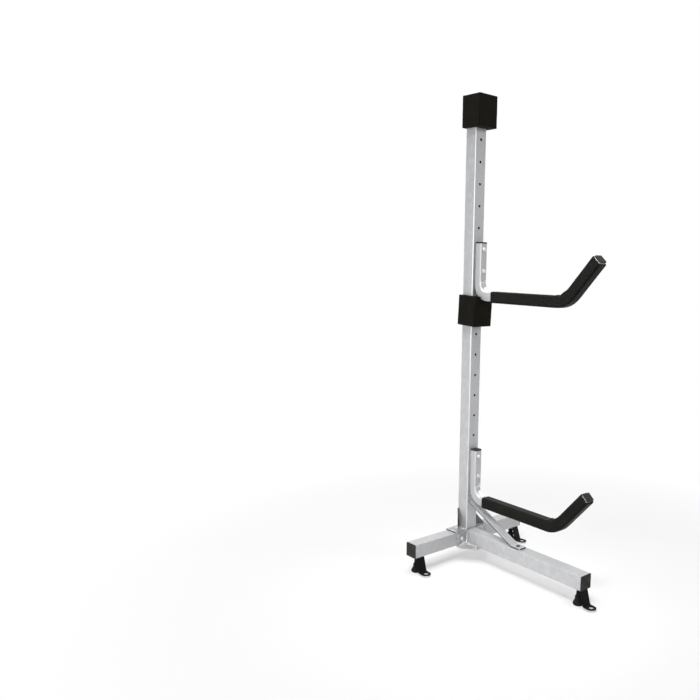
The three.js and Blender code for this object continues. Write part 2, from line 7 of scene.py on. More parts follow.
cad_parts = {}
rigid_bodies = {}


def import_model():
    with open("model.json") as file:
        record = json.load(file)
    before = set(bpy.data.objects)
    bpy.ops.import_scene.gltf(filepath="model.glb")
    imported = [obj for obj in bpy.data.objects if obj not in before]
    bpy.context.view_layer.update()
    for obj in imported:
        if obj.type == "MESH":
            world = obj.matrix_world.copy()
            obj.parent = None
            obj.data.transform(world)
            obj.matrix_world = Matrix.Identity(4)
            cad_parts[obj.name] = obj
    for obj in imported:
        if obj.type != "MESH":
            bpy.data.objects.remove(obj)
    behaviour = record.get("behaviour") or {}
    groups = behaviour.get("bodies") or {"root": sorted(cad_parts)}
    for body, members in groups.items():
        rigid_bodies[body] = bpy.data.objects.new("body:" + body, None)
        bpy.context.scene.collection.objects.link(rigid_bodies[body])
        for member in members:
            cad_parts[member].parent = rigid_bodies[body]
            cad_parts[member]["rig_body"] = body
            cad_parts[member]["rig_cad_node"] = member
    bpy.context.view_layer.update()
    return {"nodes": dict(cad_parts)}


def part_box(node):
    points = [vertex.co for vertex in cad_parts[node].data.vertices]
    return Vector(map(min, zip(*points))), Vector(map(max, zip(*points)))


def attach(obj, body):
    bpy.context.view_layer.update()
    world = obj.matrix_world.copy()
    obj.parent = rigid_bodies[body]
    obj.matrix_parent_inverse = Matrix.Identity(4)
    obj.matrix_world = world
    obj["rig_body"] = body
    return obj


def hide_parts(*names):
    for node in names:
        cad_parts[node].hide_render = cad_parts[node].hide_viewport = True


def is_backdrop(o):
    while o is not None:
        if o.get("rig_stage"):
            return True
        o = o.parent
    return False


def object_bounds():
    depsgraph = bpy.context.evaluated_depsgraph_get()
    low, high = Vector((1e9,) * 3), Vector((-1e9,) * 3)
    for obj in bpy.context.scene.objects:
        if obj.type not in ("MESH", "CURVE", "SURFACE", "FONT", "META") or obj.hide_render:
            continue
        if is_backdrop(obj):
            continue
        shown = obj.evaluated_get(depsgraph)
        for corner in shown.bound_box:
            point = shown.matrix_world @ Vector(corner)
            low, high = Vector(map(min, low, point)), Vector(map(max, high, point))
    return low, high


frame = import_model()
bpy.ops.object.select_all(action="DESELECT")


# The four frame tubes: 50 mm square steel tube with rounded corners, powder coated in
# silver and then drilled, so that the walls of the holes are dark bare steel as the
# inside is. The coat is a fine metallic one, a little rippled.
def finished_copy(node, edge, steps=2, arc=35):
    """A copy of a CAD node with its points merged, its flats made whole and its edges eased."""
    source = frame["nodes"][node]
    piece = merged_copy(source, node + "_finished", flat_angle=0.4)
    applied(piece, "eased edges", "BEVEL", width=edge, segments=steps, limit_method="ANGLE",
            angle_limit=radians(arc), use_clamp_overlap=True)
    smooth(piece, arc)
    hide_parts(node)
    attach(piece, source["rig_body"])
    return piece


def merged_copy(source, name, flat_angle=0):
    """A CAD node's loose triangles as one joined piece; an angle makes its flats whole too."""
    merge_distance = 0.000005
    piece = bpy.data.objects.new(name, source.data.copy())
    bpy.context.scene.collection.objects.link(piece)
    only(piece)
    bpy.ops.object.mode_set(mode="EDIT")
    bpy.ops.mesh.select_all(action="SELECT")
    bpy.ops.mesh.remove_doubles(threshold=merge_distance)
    if flat_angle:
        bpy.ops.mesh.dissolve_limited(angle_limit=radians(flat_angle))
    bpy.ops.object.mode_set(mode="OBJECT")
    return piece


def applied(piece, name, kind, **settings):
    """Gives the active piece a modifier with these settings and applies it."""
    modifier = piece.modifiers.new(name, kind)
    for key, value in settings.items():
        setattr(modifier, key, value)
    bpy.ops.object.modifier_apply(modifier=modifier.name)


def only(piece):
    """Makes one piece the selected and active one."""
    bpy.ops.object.select_all(action="DESELECT")
    piece.select_set(True)
    bpy.context.view_layer.objects.active = piece


def smooth(piece, arc):
    """Shades curves smooth and keeps flats flat."""
    only(piece)
    bpy.ops.object.shade_smooth_by_angle(angle=radians(arc))
    applied(piece, "even shading", "WEIGHTED_NORMAL", keep_sharp=True)


def coat(piece, material):
    """Gives a piece or a CAD node one material all over."""
    piece.data.materials.clear()
    piece.data.materials.append(material)


def new_group(name, inputs, outputs):
    """An empty shader node group with the named sockets."""
    group = bpy.data.node_groups.new(name, "ShaderNodeTree")
    for label, value in inputs.items():
        kind = "NodeSocketColor" if isinstance(value, tuple) else "NodeSocketFloat"
        group.interface.new_socket(label, in_out="INPUT", socket_type=kind).default_value = value
    for label, kind in outputs.items():
        group.interface.new_socket(label, in_out="OUTPUT", socket_type="NodeSocket" + kind)
    return group, group.nodes.new("NodeGroupInput"), group.nodes.new("NodeGroupOutput")


def node_in(tree, kind, **settings):
    """A shader node with its properties set, and the numbers of its input sockets."""
    made = tree.nodes.new("ShaderNode" + kind)
    sockets = settings.pop("sockets", {})
    for key, value in settings.items():
        setattr(made, key, value)
    for key, value in sockets.items():
        made.inputs[key].default_value = value
    return made


def colour_mix(tree, first, second, factor, blend="MIX"):
    """Mixes two colours, each a value or another node's socket; gives the result's socket."""
    made = node_in(tree, "Mix", data_type="RGBA", blend_type=blend)
    # A Mix node has sockets of one name for each kind of value, so its colours go by number
    first_colour, second_colour, share, mixed_colour = 6, 7, 0, 2
    for number, given in ((first_colour, first), (second_colour, second), (share, factor)):
        socket = made.inputs[number]
        if isinstance(given, bpy.types.NodeSocket):
            tree.links.new(given, socket)
        else:
            socket.default_value = (*given, 1) if isinstance(given, tuple) else given
    return made.outputs[mixed_colour]


# Shared: small unevenness, as noise at three sizes, from 0 to 1
def make_unevenness():
    group, given, put = new_group(
        "Unevenness",
        {"Fine": 1500.0, "Middle": 220.0, "Broad": 9.0},
        {"Fine": "Float", "Middle": "Float", "Broad": "Float"},
    )
    place = node_in(group, "TexCoord")
    for label, detail in (("Fine", 2.0), ("Middle", 3.0), ("Broad", 4.0)):
        noise = node_in(group, "TexNoise", sockets={"Detail": detail, "Roughness": 0.55})
        group.links.new(place.outputs["Object"], noise.inputs["Vector"])
        group.links.new(given.outputs[label], noise.inputs["Scale"])
        group.links.new(noise.outputs["Fac"], put.inputs[label])
    return group


unevenness = make_unevenness()


# Shared: wear where a surface bends outwards, broken up by noise, from 0 to 1
def make_edge_wear():
    group, given, put = new_group(
        "Edge wear", {"Start": 0.53, "End": 0.62, "Breakup": 60.0}, {"Wear": "Float"}
    )
    place = node_in(group, "TexCoord")
    bend = node_in(group, "NewGeometry")
    noise = node_in(group, "TexNoise", sockets={"Detail": 5.0, "Roughness": 0.7})
    edge = node_in(group, "MapRange")
    patch = node_in(group, "MapRange", sockets={"From Min": 0.45, "From Max": 0.62})
    both = node_in(group, "Math", operation="MULTIPLY", use_clamp=True)
    group.links.new(place.outputs["Object"], noise.inputs["Vector"])
    group.links.new(given.outputs["Breakup"], noise.inputs["Scale"])
    group.links.new(bend.outputs["Pointiness"], edge.inputs["Value"])
    group.links.new(given.outputs["Start"], edge.inputs["From Min"])
    group.links.new(given.outputs["End"], edge.inputs["From Max"])
    group.links.new(noise.outputs["Fac"], patch.inputs["Value"])
    group.links.new(edge.outputs["Result"], both.inputs[0])
    group.links.new(patch.outputs["Result"], both.inputs[1])
    group.links.new(both.outputs["Value"], put.inputs["Wear"])
    return group


edge_wear = make_edge_wear()


def finish_in(name, dark, light, worn, metallic, rough, grain, depth, sizes, wear=(0.53, 0.62),
              specular=0.5):
    """A material whose colour, roughness and surface vary finely, and which is worn on its edges."""
    material = bpy.data.materials.new(name)
    material.use_nodes = True
    tree = material.node_tree
    shader = tree.nodes["Principled BSDF"]
    shader.inputs["Metallic"].default_value = metallic
    shader.inputs["Specular IOR Level"].default_value = specular
    uneven = node_in(tree, "Group", node_tree=unevenness)
    for label, size in zip(("Fine", "Middle", "Broad"), sizes):
        uneven.inputs[label].default_value = size
    worn_at = node_in(tree, "Group", node_tree=edge_wear)
    worn_at.inputs["Start"].default_value = wear[0]
    worn_at.inputs["End"].default_value = wear[1]

    fine_share, broad_share = 0.55, 0.45
    specks = node_in(tree, "Math", operation="MULTIPLY_ADD", sockets={1: fine_share, 2: 0.0})
    mottle = node_in(tree, "Math", operation="MULTIPLY_ADD", sockets={1: broad_share})
    spread = node_in(tree, "MapRange", sockets={"From Min": 0.3, "From Max": 0.7})
    tree.links.new(uneven.outputs["Fine"], specks.inputs[0])
    tree.links.new(uneven.outputs["Broad"], mottle.inputs[0])
    tree.links.new(specks.outputs[0], mottle.inputs[2])
    tree.links.new(mottle.outputs[0], spread.inputs["Value"])
    tone = colour_mix(tree, dark, light, spread.outputs["Result"])
    edged = colour_mix(tree, tone, worn, worn_at.outputs["Wear"])
    tree.links.new(edged, shader.inputs["Base Color"])

    gloss = node_in(tree, "MapRange", sockets={"To Min": rough[0], "To Max": rough[1]})
    tree.links.new(uneven.outputs["Middle"], gloss.inputs["Value"])
    tree.links.new(gloss.outputs["Result"], shader.inputs["Roughness"])

    relief = node_in(tree, "Math", operation="MULTIPLY_ADD", sockets={1: grain})
    tree.links.new(uneven.outputs["Fine"], relief.inputs[0])
    tree.links.new(uneven.outputs["Middle"], relief.inputs[2])
    bump = node_in(tree, "Bump", sockets={"Strength": 1.0, "Distance": depth})
    tree.links.new(relief.outputs[0], bump.inputs["Height"])
    tree.links.new(bump.outputs["Normal"], shader.inputs["Normal"])
    return material


# Shared: a painted highlight, light and metallic, on the corners of the tubes. Bends is the
# share of the level corners and of the curved walls that get the painted highlight too.
def make_corner_highlight():
    group, given, put = new_group(
        "Painted highlight on corners", {"Bends": 0.0, "Share": 1.0}, {"Painted highlight": "Float"}
    )
    place = node_in(group, "TexCoord")
    facing = node_in(group, "SeparateXYZ")
    group.links.new(place.outputs["Normal"], facing.inputs[0])
    between = []
    for pair in ("XY", "XZ", "YZ"):
        product = node_in(group, "Math", operation="MULTIPLY")
        size = node_in(group, "Math", operation="ABSOLUTE")
        group.links.new(facing.outputs[pair[0]], product.inputs[0])
        group.links.new(facing.outputs[pair[1]], product.inputs[1])
        group.links.new(product.outputs[0], size.inputs[0])
        between.append(size.outputs[0])
    level = node_in(group, "Math", operation="ADD")
    both = node_in(group, "Math", operation="MULTIPLY_ADD")
    bright = node_in(group, "MapRange", sockets={"From Min": 0.12, "From Max": 0.4})
    group.links.new(between[1], level.inputs[0])
    group.links.new(between[2], level.inputs[1])
    group.links.new(level.outputs[0], both.inputs[0])
    group.links.new(given.outputs["Bends"], both.inputs[1])
    group.links.new(between[0], both.inputs[2])
    group.links.new(both.outputs[0], bright.inputs["Value"])
    group.links.new(given.outputs["Share"], bright.inputs["To Max"])
    group.links.new(bright.outputs["Result"], put.inputs["Painted highlight"])
    return group


corner_highlight = make_corner_highlight()


def silver_in(name, bends, share):
    """The silver coat of the tubes, with a painted highlight on their corners."""
    highlight_colour = (0.86, 0.86, 0.865)
    coated_metal, highlight_metal = 0.14, 0.85
    material = finish_in(
        name,
        dark=(0.42, 0.423, 0.436), light=(0.52, 0.523, 0.536), worn=(0.66, 0.665, 0.67),
        metallic=coated_metal, rough=(0.3, 0.44), grain=0.6, depth=0.00006,
        sizes=(2400.0, 420.0, 7.0),
    )
    tree = material.node_tree
    shader = tree.nodes["Principled BSDF"]
    shader.inputs["Coat Weight"].default_value = 0.35
    shader.inputs["Coat Roughness"].default_value = 0.2
    highlight_node = node_in(tree, "Group", node_tree=corner_highlight)
    highlight_node.inputs["Bends"].default_value = bends
    highlight_node.inputs["Share"].default_value = share
    coated = shader.inputs["Base Color"].links[0].from_socket
    bright = colour_mix(tree, coated, highlight_colour, highlight_node.outputs["Painted highlight"])
    tree.links.new(bright, shader.inputs["Base Color"])
    metal = node_in(tree, "MapRange", sockets={"To Min": coated_metal, "To Max": highlight_metal})
    tree.links.new(highlight_node.outputs["Painted highlight"], metal.inputs["Value"])
    tree.links.new(metal.outputs["Result"], shader.inputs["Metallic"])
    return material


# The tubes' coat: a painted highlight runs down their upright corners
silver_coat = silver_in("silver powder coat", bends=0.0, share=0.9)

# Inside the tubes, where the coat doesn't reach: dark rolled steel. The saddle's end faces get it too,
# a near-black line along the plate's ends.
mill_scale = finish_in(
    "dark mill scale",
    dark=(0.006, 0.006, 0.007), light=(0.02, 0.02, 0.021), worn=(0.05, 0.05, 0.05),
    metallic=0.2, rough=(0.55, 0.75), grain=0.8, depth=0.00008, sizes=(900.0, 260.0, 15.0),
)


def faces_bare_or_shaded(piece, chosen, finish=mill_scale):
    """Gives the chosen faces of a coated piece another finish: dark bare steel unless painted shade is
    given.
    """
    piece.data.materials.append(finish)
    for face in piece.data.polygons:
        if chosen(face.center, face.normal):
            face.material_index = 1


def is_inside(node, axis):
    """A test for the faces inside a frame tube and its holes; it runs along axis 0, 1 or 2."""
    low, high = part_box(node)
    middle = (low + high) / 2
    cut_end = 0.0006
    outward_limit = 0.006

    def looks_in(place, normal):
        outwards = place - middle
        outwards[axis] = 0
        between = low[axis] + cut_end < place[axis] < high[axis] - cut_end
        return between and normal.dot(outwards) < outward_limit

    return looks_in


tube_edge = 0.0003
for node, axis in (("lower_upright", 2), ("upper_upright", 2), ("cross_tube", 1), ("front_leg", 0)):
    tube = finished_copy(node, tube_edge)
    coat(tube, silver_coat)
    faces_bare_or_shaded(tube, is_inside(node, axis))
coat(frame["nodes"]["upright_coupler"], mill_scale)


# The joint at the foot of the upright: a folded saddle over the cross tube, a bracket
# welded to the front leg and two gussets, all cut from steel plate, with the burr taken
# off the edges, and coated a darker silver than the tubes; the gussets carry painted shade.
plate_coat = finish_in(
    "silver coat on plate",
    dark=(0.29, 0.294, 0.303), light=(0.41, 0.415, 0.425), worn=(0.7, 0.705, 0.71),
    metallic=0.25, rough=(0.28, 0.42), grain=0.6, depth=0.00007, sizes=(2000.0, 360.0, 18.0),
    wear=(0.515, 0.56),
)
# The gussets' coat is much darker than the other plates': painted shade
gusset_shade_coat = finish_in(
    "thin dark coat",
    dark=(0.15, 0.152, 0.155), light=(0.25, 0.252, 0.256), worn=(0.55, 0.555, 0.56),
    metallic=0.5, rough=(0.26, 0.4), grain=0.6, depth=0.00007, sizes=(2000.0, 360.0, 24.0),
)


def paint_rear_shade(material, start, end):
    """Paints shade into a coat: darkest behind start, and less and less up to end."""
    shade_colour = (0.01, 0.01, 0.01)
    tree = material.node_tree
    shader = tree.nodes["Principled BSDF"]
    place = node_in(tree, "TexCoord")
    parts = node_in(tree, "SeparateXYZ")
    unshaded_share = node_in(tree, "MapRange", sockets={"From Min": start, "From Max": end})
    unshaded = shader.inputs["Base Color"].links[0].from_socket
    tree.links.new(place.outputs["Object"], parts.inputs[0])
    tree.links.new(parts.outputs["X"], unshaded_share.inputs["Value"])
    shaded = colour_mix(tree, shade_colour, unshaded, unshaded_share.outputs["Result"])
    tree.links.new(shaded, shader.inputs["Base Color"])


# Painted shade: darkest at the gussets' rear edge, beside the upright
gusset_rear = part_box("gusset_right")[0].x
paint_rear_shade(gusset_shade_coat, start=gusset_rear + 0.006, end=gusset_rear + 0.022)

# Painted shade: the leg bracket's top edge, a dark line along the gap above it, and the
# brace's side faces and foot end. The foot bolt's head is darkened with it too.
shade_and_dark_finish = finish_in(
    "painted shade, dark finish",
    dark=(0.05, 0.05, 0.052), light=(0.1, 0.1, 0.103), worn=(0.2, 0.2, 0.2),
    metallic=0.3, rough=(0.4, 0.6), grain=0.7, depth=0.00007, sizes=(1800.0, 340.0, 20.0),
)
plate_edge = 0.0006
for node in ("saddle_bracket", "leg_bracket", "gusset_right", "gusset_left"):
    plate = finished_copy(node, plate_edge, steps=3)
    coat(plate, gusset_shade_coat if "gusset" in node else plate_coat)
    # The saddle's end faces are near black, a dark line along the plate's ends
    if node == "saddle_bracket":
        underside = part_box(node)[1].z - 0.0045
        faces_bare_or_shaded(plate, lambda place, normal: abs(normal.y) > 0.8 and place.z > underside)
    # Painted shade: a dark line along the leg bracket's top edge
    if node == "leg_bracket":
        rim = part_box(node)[1].z - 0.001
        faces_bare_or_shaded(plate, lambda place, normal: normal.z > 0.8 and place.z > rim, shade_and_dark_finish)


# Weld beads in the corners of the leg bracket: the ripples of a hand-laid fillet,
# one small pool of metal after another. Their coat is smoother than the sheet's, and far
# lighter: a painted highlight.
weld_highlight_coat = finish_in(
    "silver coat over weld, painted highlight",
    dark=(0.74, 0.745, 0.75), light=(0.86, 0.865, 0.87), worn=(0.9, 0.9, 0.9),
    metallic=0.3, rough=(0.2, 0.32), grain=0.5, depth=0.00004, sizes=(1500.0, 400.0, 40.0),
)


def weld_bead(name, corner, runs, node):
    """A rippled bead that follows straight runs out of one corner."""
    pool, flattened, pitch, sink = 0.0036, 0.55, 0.0021, 0.0012
    made = []
    for axis, length in runs:
        across = [Vector(other) for other, _ in runs if Vector(other) != Vector(axis)]
        start = Vector(corner) + (across[0] + across[1]) * sink
        bpy.ops.mesh.primitive_uv_sphere_add(segments=14, ring_count=8, radius=pool, location=start)
        coin = bpy.context.object
        turned = Vector(axis).to_track_quat("Z", "Y").to_matrix()
        squeeze = Matrix.Diagonal((1, 1, flattened)).to_4x4()
        coin.data.transform(turned.to_4x4() @ squeeze)
        applied(coin, "row of pools", "ARRAY", count=int((length - pool) / pitch),
                use_relative_offset=False, use_constant_offset=True,
                constant_offset_displace=Vector(axis) * pitch)
        made.append(coin)
    bpy.ops.object.select_all(action="DESELECT")
    for coin in made:
        coin.select_set(True)
    bpy.context.view_layer.objects.active = made[0]
    bpy.ops.object.join()
    bead = bpy.context.object
    bead.name = name
    bpy.ops.object.transform_apply(location=True, rotation=True, scale=True)
    one_skin(bead, voxel=0.0006, rounds=2)
    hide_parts(node)
    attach(bead, "frame")
    return bead


def one_skin(piece, voxel, rounds):
    """Remakes the active piece as one skin of even faces, and softens its edges."""
    applied(piece, "even faces", "REMESH", mode="VOXEL", voxel_size=voxel, use_smooth_shade=True)
    applied(piece, "soft edges", "SMOOTH", iterations=rounds, factor=0.5)


for side, sign in (("right", -1), ("left", 1)):
    low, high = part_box("leg_weld_" + side)
    inner = high.y if sign < 0 else low.y
    corner = (low.x, inner, low.z)
    runs = (
        ((0, 0, 1), high.z - low.z),
        ((1, 0, 0), high.x - low.x),
        ((0, sign, 0), high.y - low.y),
    )
    coat(weld_bead("leg_weld_bead_" + side, corner, runs, "leg_weld_" + side),
         weld_highlight_coat)


# A tack weld at the foot of the upright, on each side near its front corner: one flat
# drop of metal that runs from the tube down to the saddle, slightly uneven.
drop_radius, drop_inset, drop_rise = 0.0026, 0.0075, 0.0012
drop_shape = (1.35, 0.7, 0.8)
bulge, bulge_pace = 0.0004, 2600
foot_low, foot_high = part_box("lower_upright")
for side, face in (("right", foot_low.y), ("left", foot_high.y)):
    spot = (foot_high.x - drop_inset, face, foot_low.z + drop_rise)
    bpy.ops.mesh.primitive_uv_sphere_add(segments=24, ring_count=14, radius=drop_radius, location=spot)
    tack = bpy.context.object
    tack.name = "tack_weld_" + side
    tack.scale = drop_shape
    bpy.ops.object.transform_apply(location=True, rotation=True, scale=True)
    for point in tack.data.vertices:
        point.co.x += bulge * sin(point.co.z * bulge_pace)
    bpy.ops.object.shade_smooth()
    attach(tack, "frame")
    # Painted highlight: the tack weld is coated as light as the beads
    coat(tack, weld_highlight_coat)


# The brace: a strip of flat bar, bent at both ends and drilled, with rounded corners,
# bolted between the upright and the front leg. Its side faces and foot end carry painted shade.
brace = finished_copy("brace_strap", plate_edge, steps=3)
coat(brace, silver_coat)
foot_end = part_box("brace_strap")[1].x - 0.001
faces_bare_or_shaded(brace, lambda place, normal: abs(normal.y) > 0.9 or place.x > foot_end, shade_and_dark_finish)


# The arms: 30 mm square tube turned in a press bender, which folds the metal on the
# inside of the tight bend: a groove across the tube where the bend starts, and a swelling
# and smaller folds below it. Coated in the same silver, with its painted highlight on the bends too.
def press_folds(piece, front, level):
    """Raises the folds in an arm's bend, whose wall starts at front and whose run is at level."""
    cuts = (0.052, 0.058, 0.066)
    bend_rear, bend_front = front - 0.008, front + 0.045
    bend_low, bend_high = 0.012, 0.0655
    # Each fold's height over the run, half width and rise
    folds = ((0.0550, 0.0034, -0.0036), (0.0440, 0.0055, 0.0030), (0.0320, 0.0040, -0.0016),
             (0.0240, 0.0030, 0.0011), (0.0615, 0.0030, 0.0006))
    half_wall = 0.0132
    wave, wave_pace = 0.0012, 420
    lean_start, lean_length = 0.06, 0.035
    only(piece)
    bpy.ops.object.mode_set(mode="EDIT")
    for height in cuts:
        bpy.ops.mesh.select_all(action="SELECT")
        bpy.ops.mesh.bisect(plane_co=(0, 0, level + height), plane_no=(0, 0, 1))
    bpy.ops.mesh.select_mode(type="FACE")
    bpy.ops.mesh.select_all(action="DESELECT")
    bpy.ops.object.mode_set(mode="OBJECT")
    for face in piece.data.polygons:
        place, normal = face.center, face.normal
        in_bend = bend_rear < place.x < bend_front and bend_low < place.z - level < bend_high
        face.select = in_bend and normal.x + normal.z > 0.8
    bpy.ops.object.mode_set(mode="EDIT")
    bpy.ops.mesh.subdivide(number_cuts=3)
    bpy.ops.object.mode_set(mode="OBJECT")
    for point in piece.data.vertices:
        if not point.select:
            continue
        height = point.co.z - level + wave * sin(point.co.y * wave_pace)
        across = max(0.0, 1 - (abs(point.co.y) / half_wall) ** 4)
        rise = sum(lift * exp(-((height - middle) / width) ** 2) for middle, width, lift in folds)
        lean = min(1, max(0, (lean_start - height) / lean_length))
        out = Vector((1 - 0.6 * lean, 0, lean)).normalized()
        point.co += out * rise * across
    smooth(piece, 35)


arm_width, sleeve_middle = 0.03, 0.02
# The arms' coat: painted highlight on the corners and inside the bends
bend_highlight_coat = silver_in("silver powder coat, painted bend highlight", bends=0.6, share=0.55)
for name in ("upper", "lower"):
    arm = finished_copy(name + "_arm_tube", tube_edge)
    front_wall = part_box(name + "_arm_tube")[0].x + arm_width
    run_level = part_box(name + "_arm_sleeve")[0].z + sleeve_middle
    press_folds(arm, front_wall, run_level)
    coat(arm, bend_highlight_coat)


# Caps in the open ends of the tubes: black nylon, moulded with a soft edge and a fine
# spark-eroded grain, and pressed in until the flange meets the tube.
black_nylon = finish_in(
    "black moulded nylon",
    dark=(0.014, 0.014, 0.012), light=(0.027, 0.027, 0.022), worn=(0.05, 0.05, 0.045),
    metallic=0.0, rough=(0.6, 0.8), grain=0.8, depth=0.00008, sizes=(1900.0, 600.0, 14.0),
    specular=0.2,
)


def rimmed_cap(node, out):
    """A tube cap whose outer face lies a little below a flat moulded border."""
    border, slope, sunk = 0.0022, 0.0006, 0.0005
    piece = finished_copy(node, edge=0.0008, steps=3)
    only(piece)
    bpy.ops.object.mode_set(mode="EDIT")
    bpy.ops.mesh.select_mode(type="FACE")
    bpy.ops.mesh.select_all(action="DESELECT")
    bpy.ops.object.mode_set(mode="OBJECT")
    outward = Vector(out).normalized()
    reach = max(face.center.dot(outward) for face in piece.data.polygons)
    for face in piece.data.polygons:
        outermost = face.center.dot(outward) > reach - 0.0001
        face.select = outermost and face.normal.dot(outward) > 0.999
    bpy.ops.object.mode_set(mode="EDIT")
    bpy.ops.mesh.inset(thickness=border, depth=0)
    bpy.ops.mesh.inset(thickness=slope, depth=-sunk)
    bpy.ops.object.mode_set(mode="OBJECT")
    smooth(piece, 35)
    return piece


for node, out in (
    ("upright_top_cap", (0, 0, 1)),
    ("cross_cap_right", (0, -1, 0)),
    ("cross_cap_left", (0, 1, 0)),
    ("front_leg_cap", (1, 0, 0)),
    ("upper_arm_top_cap", (0, 0, 1)),
    ("lower_arm_top_cap", (0, 0, 1)),
    ("upper_arm_tip_cap", (1, 0, 1)),
    ("lower_arm_tip_cap", (1, 0, 1)),
):
    coat(rimmed_cap(node, out), black_nylon)


# Foam sleeves on the arms: black closed-cell foam with a smooth extruded skin, pushed
# over the tube. It bulges a little on the inside of the bend and is cut square at the ends.
def soft_copy(node, name, voxel, rounds, ripple, ripple_size):
    """Foam in the place of a CAD solid, with rounded edges and a slightly uneven surface."""
    source = frame["nodes"][node]
    piece = merged_copy(source, name)
    one_skin(piece, voxel, rounds)
    cloud = bpy.data.textures.new(name + " unevenness", "CLOUDS")
    cloud.noise_scale = ripple_size
    cloud.noise_depth = 2
    applied(piece, "uneven", "DISPLACE", texture=cloud, texture_coords="LOCAL", mid_level=0.55,
            strength=ripple)
    bpy.ops.object.shade_smooth()
    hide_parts(node)
    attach(piece, source["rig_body"])
    return piece


def foam(name, dark, light, rough, cell, relief):
    """Closed-cell foam: tiny cells in the skin with painted shade in their pits, slow patches of grey
    bloom, and a weak sheen.
    """
    pit_shade = 0.45
    material = bpy.data.materials.new(name)
    material.use_nodes = True
    tree = material.node_tree
    shader = tree.nodes["Principled BSDF"]
    shader.inputs["Sheen Weight"].default_value = 0.02
    shader.inputs["Sheen Roughness"].default_value = 0.6
    shader.inputs["Specular IOR Level"].default_value = 0.06
    uneven = node_in(tree, "Group", node_tree=unevenness)
    uneven.inputs["Broad"].default_value = 22.0
    place = node_in(tree, "TexCoord")
    cells = node_in(tree, "TexVoronoi", feature="SMOOTH_F1", sockets={"Scale": cell})
    tree.links.new(place.outputs["Object"], cells.inputs["Vector"])
    patch = node_in(tree, "MapRange", sockets={"From Min": 0.35, "From Max": 0.7})
    tree.links.new(uneven.outputs["Broad"], patch.inputs["Value"])
    tone = colour_mix(tree, dark, light, patch.outputs["Result"])
    pits = node_in(tree, "MapRange", sockets={"From Min": 0.1, "From Max": 0.75})
    tree.links.new(cells.outputs["Distance"], pits.inputs["Value"])
    # Painted shade: the cells' pits are darker
    pitted = colour_mix(tree, tone, pits.outputs["Result"], pit_shade, blend="MULTIPLY")
    tree.links.new(pitted, shader.inputs["Base Color"])
    gloss = node_in(tree, "MapRange", sockets={"To Min": rough[0], "To Max": rough[1]})
    tree.links.new(uneven.outputs["Middle"], gloss.inputs["Value"])
    tree.links.new(gloss.outputs["Result"], shader.inputs["Roughness"])
    bump = node_in(tree, "Bump", sockets={"Strength": 1.0, "Distance": relief})
    tree.links.new(cells.outputs["Distance"], bump.inputs["Height"])
    tree.links.new(bump.outputs["Normal"], shader.inputs["Normal"])
    return material


skinned_foam = foam("foam with a skin", (0.0065, 0.0065, 0.005), (0.0105, 0.010, 0.0075),
                    rough=(0.4, 0.58), cell=1100.0, relief=0.00009)


def crease(piece, fold, lean):
    """Folds the foam sharply at one place inside its bend, with a swelling on both sides."""
    reach, depth, fade = 0.07, 0.014, 0.012
    dent_depth, dent_width = 0.004, 0.008
    # Where each swelling lies along the sleeve, its width and its height
    swellings = ((-0.012, 0.0075, 0.0024), (0.018, 0.014, 0.0038))
    out = Vector((cos(radians(90) + lean), 0, sin(radians(90) + lean)))
    along = Vector((out.z, 0, -out.x))
    for point in piece.data.vertices:
        gap = point.co - fold
        side, rise = gap.dot(along), gap.dot(out)
        if rise < -depth or abs(side) > reach:
            continue
        share = min(1, (rise + depth) / fade)
        dent = dent_depth * max(0, 1 - abs(side) / dent_width)
        swell = sum(lift * exp(-((side - middle) / width) ** 2) for middle, width, lift in swellings)
        point.co += out * share * (swell - dent)


fold_reach, fold_level, fold_lean = 0.4, 0.042, radians(15)
for name in ("upper", "lower"):
    sleeve = soft_copy(name + "_arm_sleeve", name + "_foam_sleeve", voxel=0.0017, rounds=3,
                       ripple=0.0006, ripple_size=0.03)
    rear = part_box(name + "_arm_tube")[0].x
    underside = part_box(name + "_arm_sleeve")[0].z
    crease(sleeve, Vector((rear + fold_reach, 0, underside + fold_level)), fold_lean)
    coat(sleeve, skinned_foam)


# Foam blocks on the upright: thick blocks cut from a rougher black foam with larger cells,
# each with a square hole. The top one is drawn over the end of the tube, the other is
# pushed on below the upper arm.
cut_foam = foam("cut foam", (0.006, 0.0056, 0.003), (0.0115, 0.0105, 0.006),
                rough=(0.75, 0.92), cell=700.0, relief=0.00028)
for name, node in (("top_foam_block", "top_bumper"), ("middle_foam_block", "middle_bumper")):
    block = soft_copy(node, name, voxel=0.0018, rounds=2, ripple=0.0009, ripple_size=0.04)
    coat(block, cut_foam)


# Bolts with low domed heads, and their nuts: bright zinc-plated steel. The shank ends
# in a thread that stands a few turns out of the nut.
bright_zinc = finish_in(
    "bright zinc plate",
    dark=(0.60, 0.61, 0.62), light=(0.76, 0.765, 0.765), worn=(0.85, 0.85, 0.85),
    metallic=1.0, rough=(0.2, 0.36), grain=0.5, depth=0.00003, sizes=(1400.0, 500.0, 60.0),
)


